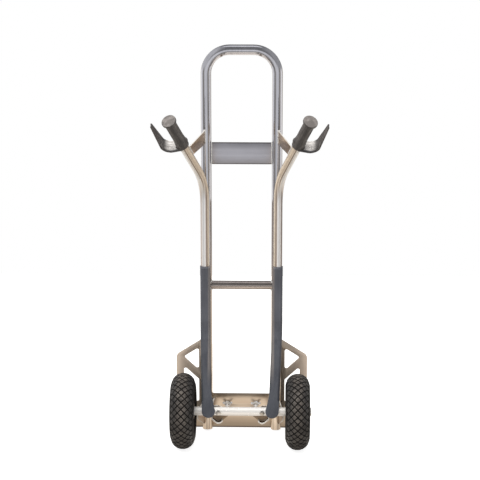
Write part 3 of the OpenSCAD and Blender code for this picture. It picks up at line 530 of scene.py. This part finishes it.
def smooth_by_angle(mesh, degrees):
    """Shades smooth, with sharp edges above an angle."""
    bm = bmesh.new()
    bm.from_mesh(mesh)
    limit = math.radians(degrees)
    for face in bm.faces:
        face.smooth = True
    for edge in bm.edges:
        edge.smooth = len(edge.link_faces) == 2 and edge.calc_face_angle(0) < limit
    bm.to_mesh(mesh)
    bm.free()


def geometry_tree(name, inputs):
    """An empty geometry tree with named inputs; returns the group, its tree and the inputs."""
    group = bpy.data.node_groups.new(name, "GeometryNodeTree")
    group.interface.new_socket("Geometry", in_out="INPUT", socket_type="NodeSocketGeometry")
    for key, kind in inputs.items():
        group.interface.new_socket(key, in_out="INPUT", socket_type="NodeSocket" + kind)
    group.interface.new_socket("Geometry", in_out="OUTPUT", socket_type="NodeSocketGeometry")
    tree = Tree(group)
    entry = group.nodes.new("NodeGroupInput")
    sizes = {key: Val(tree, entry.outputs[key]) for key in ["Geometry", *inputs]}
    return group, tree, sizes


def close_tree(group, tree, geometry, material, flank=None):
    """Ends a tree in Realize Instances and Set Material; faces marked flank can have their own."""
    real = tree.node("GeometryNodeRealizeInstances", {}, {0: geometry})
    smooth = tree.node("GeometryNodeSetShadeSmooth", {}, {0: real})
    done = tree.node("GeometryNodeSetMaterial", {}, {"Geometry": smooth, "Material": material})
    if flank:
        mark = tree.node("GeometryNodeInputNamedAttribute", {"data_type": "FLOAT"}, {"Name": "flank"})
        done = tree.node("GeometryNodeSetMaterial", {}, {
            "Geometry": done, "Selection": mark, "Material": flank})
    group.links.new(done.socket, group.nodes.new("NodeGroupOutput").inputs[0])


def grown(base, group, sizes, name):
    """Runs a geometry tree on a base mesh and returns the plain mesh."""
    host = bpy.data.objects.new(name, base)
    bpy.context.scene.collection.objects.link(host)
    modifier = host.modifiers.new("grow", "NODES")
    modifier.node_group = group
    for item in group.interface.items_tree:
        if item.item_type == "SOCKET" and item.in_out == "INPUT" and item.name in sizes:
            modifier[item.identifier] = sizes[item.name]
    bpy.context.view_layer.update()
    done = bpy.data.meshes.new_from_object(host.evaluated_get(bpy.context.evaluated_depsgraph_get()))
    done.name = name
    bpy.data.objects.remove(host)
    return done


def paths_mesh(paths, name):
    """Polylines, in millimetres, as a mesh of edges."""
    bm = bmesh.new()
    for path in paths:
        verts = [bm.verts.new(Vector(p) * MM) for p in path]
        for a, b in zip(verts, verts[1:]):
            bm.edges.new((a, b))
    return mesh_of(bm, name)


def softened(node, width, material, edge=None):
    """A merged copy of a CAD node with rounded edges; sheared faces take the edge finish."""
    bm = bmesh.new()
    bm.from_mesh(NODES[node].data)
    bmesh.ops.remove_doubles(bm, verts=bm.verts, dist=1e-6)
    bmesh.ops.dissolve_limit(bm, angle_limit=math.radians(0.3), verts=bm.verts, edges=bm.edges)
    sharp = {e for e in bm.edges if len(e.link_faces) == 2 and e.calc_face_angle(0) > 0.5}
    for face in bm.faces:
        round_it = face.calc_perimeter()
        thin = face.calc_area() < 2.6 * MM * round_it
        cornered = sum(e.calc_length() for e in face.edges if e in sharp) > 0.5 * round_it
        face.material_index = 1 if edge and thin and cornered else 0
    bmesh.ops.bevel(bm, geom=list(sharp), offset=width * MM, offset_type="OFFSET", segments=2,
                    profile=0.5, affect="EDGES", clamp_overlap=True, material=1 if edge else -1)
    bmesh.ops.dissolve_degenerate(bm, dist=2e-6, edges=bm.edges)
    mesh = mesh_of(bm, node + "_soft", *[m for m in (material, edge) if m])
    smooth_by_angle(mesh, 40)
    return mesh


for node, width, material, slot in (
        ("toe_plate", 0.9, SHEET, "warm_aluminium"),
        ("lower_cross_plate", 0.8, LOW_SHEET, "warm_aluminium"),
        ("top_cross_plate", 0.8, CROSS, "bright_aluminium"),
        ("axle_bolts", 1.3, STEEL, "zinc_steel"),
        ("axle_nuts", 1.0, STEEL, "zinc_steel")):
    piece(node + "_soft", softened(node, width, material), "frame", slot, node)
for side in SIDES:
    for family, width, material, edge, slot in (
            ("gusset", 0.8, FOLDED, EDGE, "warm_aluminium"),
            ("axle_bracket", 0.8, BRACKET, EDGE, "warm_aluminium"),
            ("axle_cheek", 0.8, CHEEK, EDGE, "warm_aluminium"),
            ("skid", 1.1, SKID, None, "skid_plastic")):
        node = family + "_" + side
        piece(node + "_soft", softened(node, width, material, edge), "frame", slot, node)
    node = "wing_nut_" + side
    piece(node + "_cast", softened(node, 0.9, NUT), node + "_body", "zinc_steel", node)


def moulded(node, sign, voxel, rounds):
    """A grip as one moulding, its edges and inner corners run together, with a painted highlight inside
    the guard.
    """
    bm = bmesh.new()
    bm.from_mesh(NODES[node].data)
    bmesh.ops.remove_doubles(bm, verts=bm.verts, dist=1e-6)
    host = bpy.data.objects.new(node, mesh_of(bm, node))
    bpy.context.scene.collection.objects.link(host)
    mould = host.modifiers.new("mould", "REMESH")
    mould.mode, mould.voxel_size = "VOXEL", voxel * MM
    soft = host.modifiers.new("soft", "SMOOTH")
    soft.factor, soft.iterations = 0.5, rounds
    bpy.context.view_layer.update()
    done = bpy.data.meshes.new_from_object(host.evaluated_get(bpy.context.evaluated_depsgraph_get()))
    bpy.data.objects.remove(host)
    done.materials.clear()
    for material in (GRIP, GUARD_HIGHLIGHT):
        done.materials.append(material)
    end, way = [Vector((sign * v.x, v.y, v.z)) for v in (HANDLE_END, HANDLE_WAY)]
    for face in done.polygons:
        arm = face.center / MM - end
        arm -= way * arm.dot(way)
        # Faces well out from the sleeve and facing up the handle take the painted highlight of the
        # guard.
        face.material_index = int(arm.length > SLEEVE_R + 5 and face.normal.dot(way) > 0.3)
    done.shade_smooth()
    return done


for side, sign in SIDES.items():
    node = "grip_" + side
    piece(node + "_moulding", moulded(node, sign, voxel=1.0, rounds=5), "frame", "grip_plastic", node)


def wall(bm, low, high):
    """Faces between two closed loops of points."""
    return [bm.faces.new(corners) for corners in
            zip(low, low[1:] + low[:1], high[1:] + high[:1], high)]


def ripple():
    """One ripple of a weld bead, a flat pebble across the seam."""
    bm = bmesh.new()
    bmesh.ops.create_uvsphere(bm, u_segments=8, v_segments=5, radius=MM)
    bmesh.ops.scale(bm, vec=(2.9, 2.9, 1.7), verts=bm.verts)
    return mesh_of(bm, "ripple", WELD)


def thread_turn(radius):
    """One turn of a thread, a thin ridged ring."""
    bm = bmesh.new()
    loops = []
    for r, z in ((radius - 0.5, -0.62), (radius + 0.35, 0.0), (radius - 0.5, 0.62)):
        loops.append([bm.verts.new((r * math.cos(a) * MM, r * math.sin(a) * MM, z * MM))
                      for a in (2 * math.pi * k / THREAD_SIDES for k in range(THREAD_SIDES))])
    for low, high in zip(loops, loops[1:] + loops[:1]):
        wall(bm, low, high)
    bmesh.ops.recalc_face_normals(bm, faces=bm.faces)
    return mesh_of(bm, "thread_turn", ZINC)


def strung_tree(material):
    """Copies of a shape strung along paths, each facing along its path, sizes varied a little."""
    group, t, size = geometry_tree("strung_along_a_path", {
        "Shape": "Object", "Step": "Float", "Vary": "Float", "Seed": "Int"})
    curve = t.node("GeometryNodeMeshToCurve", {}, {0: size["Geometry"]})
    dots = t.node("GeometryNodeCurveToPoints", {"mode": "LENGTH"},
                  {"Curve": curve, "Length": size["Step"]})
    way = Val(t, dots.socket.node.outputs["Tangent"])
    faced = t.node("FunctionNodeAlignRotationToVector", {"axis": "Z"}, {"Vector": way})
    vary = t.node("FunctionNodeRandomValue", {"data_type": "FLOAT"}, {
        2: 1 - size["Vary"], 3: 1 + size["Vary"], "Seed": size["Seed"]}, out=1)
    shape = t.node("GeometryNodeObjectInfo", {}, {"Object": size["Shape"]}, out="Geometry")
    copies = t.node("GeometryNodeInstanceOnPoints", {}, {
        "Points": dots, "Instance": shape, "Rotation": faced, "Scale": vary})
    close_tree(group, t, copies, material)
    return group


def strung(name, paths, shape, step, vary, material, slot):
    """A piece of the frame made of a shape strung along paths."""
    host = bpy.data.objects.new(name + "_shape", shape)
    bpy.context.scene.collection.objects.link(host)
    mesh = grown(paths_mesh(paths, name), strung_tree(material), {
        "Shape": host, "Step": step * MM, "Vary": vary, "Seed": 7}, name)
    bpy.data.objects.remove(host)
    piece(name, mesh, "frame", slot)


def crossbar_seam():
    """Where the round crossbar meets a main tube."""
    seam = []
    for k in range(SEAM_STEPS + 1):
        a = 2 * math.pi * k / SEAM_STEPS
        y, z = (CROSSBAR_R + BEAD_OUT) * math.cos(a), (CROSSBAR_R + BEAD_OUT) * math.sin(a)
        seam.append((MAIN_X - math.sqrt(MAIN_R ** 2 - y * y), MAIN_Y + y, CROSSBAR_Z + z))
    return seam


def tail_seam():
    """Where the lower end of a handle tube meets the axle tube."""
    lean, turn = math.radians(TAIL_LEAN), math.radians(TAIL_TURN)
    up = Vector((math.sin(lean) * math.sin(turn), math.sin(lean) * math.cos(turn), math.cos(lean)))
    across = up.cross(Vector((1, 0, 0))).normalized()
    other = up.cross(across)
    seam = []
    for k in range(SEAM_STEPS + 1):
        a = 2 * math.pi * k / SEAM_STEPS
        spot = (across * math.cos(a) + other * math.sin(a)) * (HANDLE_R + 0.4)
        b = spot.y * up.y + spot.z * up.z
        c = spot.y ** 2 + spot.z ** 2 - AXLE_R ** 2
        q = up.y ** 2 + up.z ** 2
        reach = (-b + math.sqrt(max(b * b - q * c, 0.0))) / q
        seam.append(Vector((TAIL_X, AXLE_Y, AXLE_Z)) + spot + up * reach)
    return seam


def gusset_seams():
    """The two seams of a gusset, on both of its faces: at the main tube and at the handle tube."""
    end = HANDLE_END - HANDLE_WAY * GUSSET_BACK
    edge = Vector((end.x - HANDLE_R / 2 - MAIN_X, end.y - MAIN_Y, 0)).normalized()
    face = Vector((-edge.y, edge.x, 0))
    root = Vector((MAIN_X, MAIN_Y, 0)) + edge * (MAIN_R + 0.2)
    offsets = (-GUSSET_T / 2 - BEAD_OUT, GUSSET_T / 2 + BEAD_OUT)
    seams = []
    for off in offsets:
        seams.append([root + face * off + Vector((0, 0, GUSSET_Z + k)) for k in (2, GUSSET_H - 2)])
    flat = (face - HANDLE_WAY * face.dot(HANDLE_WAY)).normalized()
    back = HANDLE_WAY.cross(flat)
    if back.dot(edge) > 0:
        back = -back
    height = (end - Vector((MAIN_X, MAIN_Y, 0))).dot(face) / face.dot(flat)
    for off in offsets:
        side_step = off - height
        out = math.sqrt(max((HANDLE_R + 0.3) ** 2 - side_step ** 2, 0.0))
        spot = end + flat * side_step + back * out
        seams.append([spot + HANDLE_WAY * k for k in (2 - GUSSET_END_H / 2, GUSSET_END_H / 2 - 2)])
    return seams


def handle_seams():
    """Stitch welds in the grooves between a main tube and the handle tube behind it."""
    out = Vector((HANDLE_X - MAIN_X, HANDLE_Y - MAIN_Y, 0))
    touch = Vector((MAIN_X, MAIN_Y, 0)) + out.normalized() * MAIN_R
    along = Vector((-out.y, out.x, 0)).normalized()
    return [[touch + along * step + Vector((0, 0, z)) for z in span]
            for step in (-6.5, 6.5)
            for span in (UPPER_STITCH, LOWER_STITCH)]


def plate_seams():
    """End seams of the top and lower cross plates."""
    inner = MAIN_X - MAIN_R - 0.4
    seams = [[(inner, MAIN_Y + y, TOP_PLATE_Z + z * TOP_PLATE_H / 2) for z in (-0.96, 0.96)]
             for y in (-TOP_PLATE_T / 2 - 0.8, TOP_PLATE_T / 2 + 0.8)]
    low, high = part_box("lower_cross_plate")
    y = low.y / MM - 0.8
    x = MAIN_X - math.sqrt(MAIN_R ** 2 - (y - MAIN_Y) ** 2) - 0.4
    seams.append([(x, y, low.z / MM + 3), (x, y, high.z / MM - 3)])
    return seams


seams = [crossbar_seam(), tail_seam(), *gusset_seams(), *handle_seams(), *plate_seams()]
seams += [[(-p[0], p[1], p[2]) for p in seam] for seam in seams]
strung("weld_beads", seams, ripple(), BEAD_STEP, BEAD_VARY, WELD, "bright_aluminium")


def thread_runs(x, z, near, far):
    """Lines along both bolts of a pair, over the length that its thread shows."""
    return [[(sign * x, y, z) for y in (near, far)] for sign in SIDES.values()]


bolts_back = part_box("toe_bolts")[0].y / MM
nuts_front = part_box("wing_nut_right")[1].y / MM
strung("toe_bolt_threads",
       thread_runs(TOE_BOLT_X, TOE_BOLT_Z, bolts_back + 1.2, nuts_front - TOE_NUT_H - 0.8),
       thread_turn(TOE_BOLT_R), THREAD_STEP, 0.0, ZINC, "zinc_steel")
nuts_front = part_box("axle_nuts")[1].y / MM
bolts_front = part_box("axle_bolts")[1].y / MM
strung("axle_bolt_threads",
       thread_runs(AXLE_BOLT_X, AXLE_Z, nuts_front + 0.8, bolts_front - 1.2),
       thread_turn(AXLE_BOLT_R), THREAD_STEP, 0.0, ZINC, "zinc_steel")


def tread_block():
    """One diamond block with softened edges and a small dimple, its top at z = 0."""
    bm = bmesh.new()
    rings = [(1.14, -4.4), (1.0, -0.7), (0.93, -0.16), (0.86, 0.0), (0.30, 0.0), (0.22, -0.5)]
    flank = bm.faces.layers.float.new("flank")
    loops = []
    for scale, z in rings:
        far = BLOCK_HALF * scale
        cut = far * BLOCK_CORNER
        outline = [(far, -cut), (far, cut), (cut, far), (-cut, far),
                   (-far, cut), (-far, -cut), (-cut, -far), (cut, -far)]
        loops.append([bm.verts.new((x * MM, y * MM, z * MM)) for x, y in outline])
    for low, high in zip(loops, loops[1:]):
        for face in wall(bm, low, high):
            face[flank] = float(low is loops[0])
    bm.faces.new(loops[-1])
    bm.faces.new(reversed(loops[0]))[flank] = 1.0
    return mesh_of(bm, "tread_block", TREAD)


def tread_tree():
    """Tread blocks on a crown: a lattice of columns round the axle, staggered by half a pitch."""
    group, t, size = geometry_tree("tread_lattice", {
        "Block": "Object", "Count": "Int", "Columns": "Int", "Arc": "Float",
        "Section Centre": "Float", "Section Radius": "Float"})
    points = t.node("GeometryNodeMeshLine", {}, {"Count": size["Count"] * size["Columns"]})
    index = t.node("GeometryNodeInputIndex")
    column = (index / size["Count"]).math("FLOOR")
    row = index % size["Count"]
    tilt = (column / (size["Columns"] - 1) - 0.5) * size["Arc"]
    turn = (row + (column % 2) * 0.5) / size["Count"] * (2 * math.pi)
    radial = size["Section Centre"] + size["Section Radius"] * tilt.math("COSINE")
    spot = t.node("ShaderNodeCombineXYZ", {}, {
        0: size["Section Radius"] * tilt.math("SINE"),
        1: radial * turn.math("COSINE"), 2: radial * turn.math("SINE")})
    out = t.node("ShaderNodeCombineXYZ", {}, {
        0: tilt.math("SINE"), 1: tilt.math("COSINE") * turn.math("COSINE"),
        2: tilt.math("COSINE") * turn.math("SINE")})
    along = t.node("ShaderNodeCombineXYZ", {}, {0: 0.0, 1: turn.math("SINE") * -1,
                                                2: turn.math("COSINE")})
    placed = t.node("GeometryNodeSetPosition", {}, {"Geometry": points, "Position": spot})
    faced = t.node("FunctionNodeAlignRotationToVector", {"axis": "Z"}, {"Vector": out})
    faced = t.node("FunctionNodeAlignRotationToVector", {"axis": "X", "pivot_axis": "Z"},
                   {"Rotation": faced, "Vector": along})
    shape = t.node("GeometryNodeObjectInfo", {}, {"Object": size["Block"]}, out="Geometry")
    blocks = t.node("GeometryNodeInstanceOnPoints", {}, {
        "Points": placed, "Instance": shape, "Rotation": faced})
    close_tree(group, t, blocks, TREAD, TYRE)
    return group


def tyre_carcass(side_x):
    """Lathed carcass: groove floor, shoulder step, ribbed walls, beads and the inner wall.

    half is one side of the section, as degrees from the crown and radius from the section's centre.
    """
    floor = BLOCK_TOP - GROOVE
    half = [(0, floor), (20, floor), (40, floor), (54, floor), (58, floor + 0.3), (60.5, floor + 1.4),
            (62.5, floor + 2.3), (66, 40.6), (72, 41.0), (78, 41.2), (83, 41.25), (84, 41.7),
            (86, 41.7), (87, 41.2), (96, 41.0), (103, 40.7), (104, 41.1), (105.5, 41.1),
            (106.5, 40.5), (114, 40.0), (120, 39.6), (121, 40.0), (123, 40.0), (124, 39.3),
            (132, 38.6)]
    outer = [(SECTION_C + r * math.cos(math.radians(a)), r * math.sin(math.radians(a)))
             for a, r in half]
    outer += [(58.9, 28.4), (56.5, 27.8), (50.6, 27.8), (50.6, 20.0)]
    inner = [(SECTION_C + TUBE_SPACE_R * math.cos(math.radians(a)),
              TUBE_SPACE_R * math.sin(math.radians(a))) for a in range(140, -1, -10)]
    section = outer + inner + [(r, -w) for r, w in reversed(outer + inner) if w > 1e-6]
    bm = bmesh.new()
    loops = []
    for k in range(LATHE_STEPS):
        a = 2 * math.pi * k / LATHE_STEPS
        loops.append([bm.verts.new(((side_x + w) * MM, (AXLE_Y + r * math.cos(a)) * MM,
                                    (AXLE_Z + r * math.sin(a)) * MM)) for r, w in section])
    for now, after in zip(loops, loops[1:] + loops[:1]):
        wall(bm, now, after)
    bmesh.ops.recalc_face_normals(bm, faces=bm.faces)
    return mesh_of(bm, "carcass", TYRE)


block_shape = bpy.data.objects.new("tread_block_shape", tread_block())
bpy.context.scene.collection.objects.link(block_shape)
lattice = tread_tree()
for side, sign in SIDES.items():
    tread = grown(bpy.data.meshes.new("empty"), lattice, {
        "Block": block_shape, "Count": TREAD_COUNT, "Columns": TREAD_COLUMNS,
        "Arc": math.radians(TREAD_ARC), "Section Centre": SECTION_C * MM,
        "Section Radius": BLOCK_TOP * MM}, "tread_" + side)
    tread.transform(Matrix.Translation(Vector((sign * WHEEL_X, AXLE_Y, AXLE_Z)) * MM))
    smooth_by_angle(tread, 30)
    carcass = tyre_carcass(sign * WHEEL_X)
    smooth_by_angle(carcass, 40)
    piece("tyre_carcass_" + side, carcass, "wheel_" + side, "tyre_rubber", "tyre_" + side)
    piece("tyre_tread_" + side, tread, "wheel_" + side, "tyre_rubber")
bpy.data.objects.remove(block_shape)


def studio_world():
    """White to the camera; metal mirrors a room of bright and dark sides; the rest gets soft light."""
    world = bpy.data.worlds.new("studio")
    bpy.context.scene.world = world
    world.use_nodes = True
    t = Tree(world.node_tree)
    way = t.node("ShaderNodeTexCoord", out="Generated")
    parts = world.node_tree.nodes.new("ShaderNodeSeparateXYZ")
    world.node_tree.links.new(way.socket, parts.inputs[0])
    x, y, z = (Val(t, parts.outputs[i]) for i in range(3))
    bearing = x.math("ARCTAN2", y * -1) / (2 * math.pi) + 0.5

    def tone(level, warm=0.0):
        return level * (1 + 0.12 * warm), level, level * (1.02 - 0.18 * warm)

    sides = t.node("ShaderNodeValToRGB", {"stops": [
        (0.00, tone(0.30, 1)), (0.09, tone(0.24, 1)), (0.12, tone(1.15, 0.4)), (0.22, tone(1.05)),
        (0.26, tone(0.72)), (0.29, tone(0.70)), (0.31, tone(0.24, 0.5)), (0.38, tone(0.28, 0.5)),
        (0.41, tone(0.70)), (0.50, tone(0.80)), (0.56, tone(0.70)), (0.60, tone(0.62)),
        (0.62, tone(0.22, 1)), (0.68, tone(0.26, 1)), (0.70, tone(1.1, 0.3)), (0.74, tone(0.74)),
        (0.78, tone(1.2, 0.3)), (0.84, tone(1.1, 0.5)), (0.87, tone(0.26, 1)),
        (1.00, tone(0.28, 1))]}, {"Fac": bearing})
    overhead = t.mix((x * -1).step(0.1, 0.6), tone(0.21), tone(0.62))
    overhead = t.mix(x.step(0.1, 0.6), overhead, tone(0.40))
    room = t.mix(z.step(-0.04, 0.16), sides, overhead)
    room = t.mix(z.step(0.93, 0.97), room, tone(0.9))
    light = world.node_tree.nodes.new("ShaderNodeLightPath")
    seen = Val(t, light.outputs["Is Camera Ray"])
    shine = Val(t, light.outputs["Is Glossy Ray"])
    through = Val(t, light.outputs["Is Transmission Ray"])
    soft = t.mix(z.step(-0.2, 1.0), (0.24, 0.24, 0.245), (0.54, 0.54, 0.545))
    colour = t.mix(shine, soft, room)
    colour = t.mix(seen.math("MAXIMUM", through), colour, (1, 1, 1))
    world.node_tree.links.new(colour.socket, world.node_tree.nodes["Background"].inputs["Color"])


def studio_floor():
    """Pale floor, white to the camera with a faint shadow; shiny pieces mirror light and dark parts."""
    bm = bmesh.new()
    reach = 2.2
    bm.faces.new([bm.verts.new((x * reach, y * reach, 0)) for x, y in
                  ((-1, -1), (1, -1), (1, 1), (-1, 1))])
    made = bpy.data.materials.new("pale_floor")
    made.use_nodes = True
    t = Tree(made.node_tree)
    light = made.node_tree.nodes.new("ShaderNodeLightPath")
    shine = Val(t, light.outputs["Is Glossy Ray"])
    seen = Val(t, light.outputs["Is Camera Ray"]).math(
        "MAXIMUM", Val(t, light.outputs["Is Transmission Ray"]))
    diffuse = t.node("ShaderNodeBsdfDiffuse", {}, {"Color": (0.56, 0.55, 0.53, 1)})
    glow = t.node("ShaderNodeEmission", {}, {"Color": t.mix(seen, (0, 0, 0), (0.88, 0.88, 0.88))})
    lit = t.node("ShaderNodeAddShader", {}, {0: diffuse, 1: glow})
    # Glow of the floor seen only in reflections, a painted reflection: bright, with painted shade under
    # the frame, dark beside it, far behind it and at the tyres
    side = t.part(0).math("ABSOLUTE")
    depth = t.part(1)
    front = depth.step(-0.04, 0.10)
    under = depth.step(-0.24, -0.06) - front
    beside = side.step(0.30, 0.33) - side.step(0.44, 0.50)
    behind = (side * side + depth * depth).math("SQRT").step(0.85, 1.05) * (1 - front)
    tyres = (side.step(0.13, 0.15) - side.step(0.25, 0.28)) * (1 - depth.step(-0.22, -0.14))
    sheen = t.mix(under, (1.16, 1.06, 0.95), (0.76, 0.67, 0.58))
    sheen = t.mix(beside, sheen, (0.26, 0.20, 0.15))
    sheen = t.mix(behind, sheen, (0.36, 0.34, 0.32))
    sheen = t.mix(tyres, sheen, (0.26, 0.24, 0.22))
    mirrored = t.node("ShaderNodeEmission", {}, {"Color": sheen})
    both = t.node("ShaderNodeMixShader", {}, {0: shine, 1: lit, 2: mirrored})
    made.node_tree.links.new(both.socket, made.node_tree.nodes["Material Output"].inputs["Surface"])
    made.node_tree.nodes.remove(made.node_tree.nodes["Principled BSDF"])
    floor = bpy.data.objects.new("floor", mesh_of(bm, "floor", made))
    bpy.context.scene.collection.objects.link(floor)


def studio_sun(name, strength, towards, spread):
    """A broad soft lamp; spread is its width in degrees."""
    data = bpy.data.lights.new(name, "SUN")
    data.energy, data.angle = strength, math.radians(spread)
    lamp = bpy.data.objects.new(name, data)
    lamp.rotation_mode = "QUATERNION"
    lamp.rotation_quaternion = Vector(towards).to_track_quat("-Z", "Y")
    lamp.visible_glossy = False
    bpy.context.scene.collection.objects.link(lamp)


def photo_camera():
    """Camera behind the truck, above its hoop, as the photograph was taken."""
    data = bpy.data.cameras.new("camera")
    data.sensor_width, data.lens = 36.0, 111.1
    camera = bpy.data.objects.new("camera", data)
    yaw, pitch = -0.027326, 0.222768
    camera.location = Vector((130.1, -5000.0, 1816.5)) * MM
    look = Vector((math.sin(yaw) * math.cos(pitch), math.cos(yaw) * math.cos(pitch),
                   -math.sin(pitch)))
    camera.rotation_mode = "QUATERNION"
    camera.rotation_quaternion = look.to_track_quat("-Z", "Y")
    bpy.context.scene.collection.objects.link(camera)
    bpy.context.scene.camera = camera


studio_world()
studio_floor()
studio_sun("key", 2.8, (0.2, 0.5, -1.0), 50)
photo_camera()
bpy.context.scene.view_settings.view_transform = "Standard"
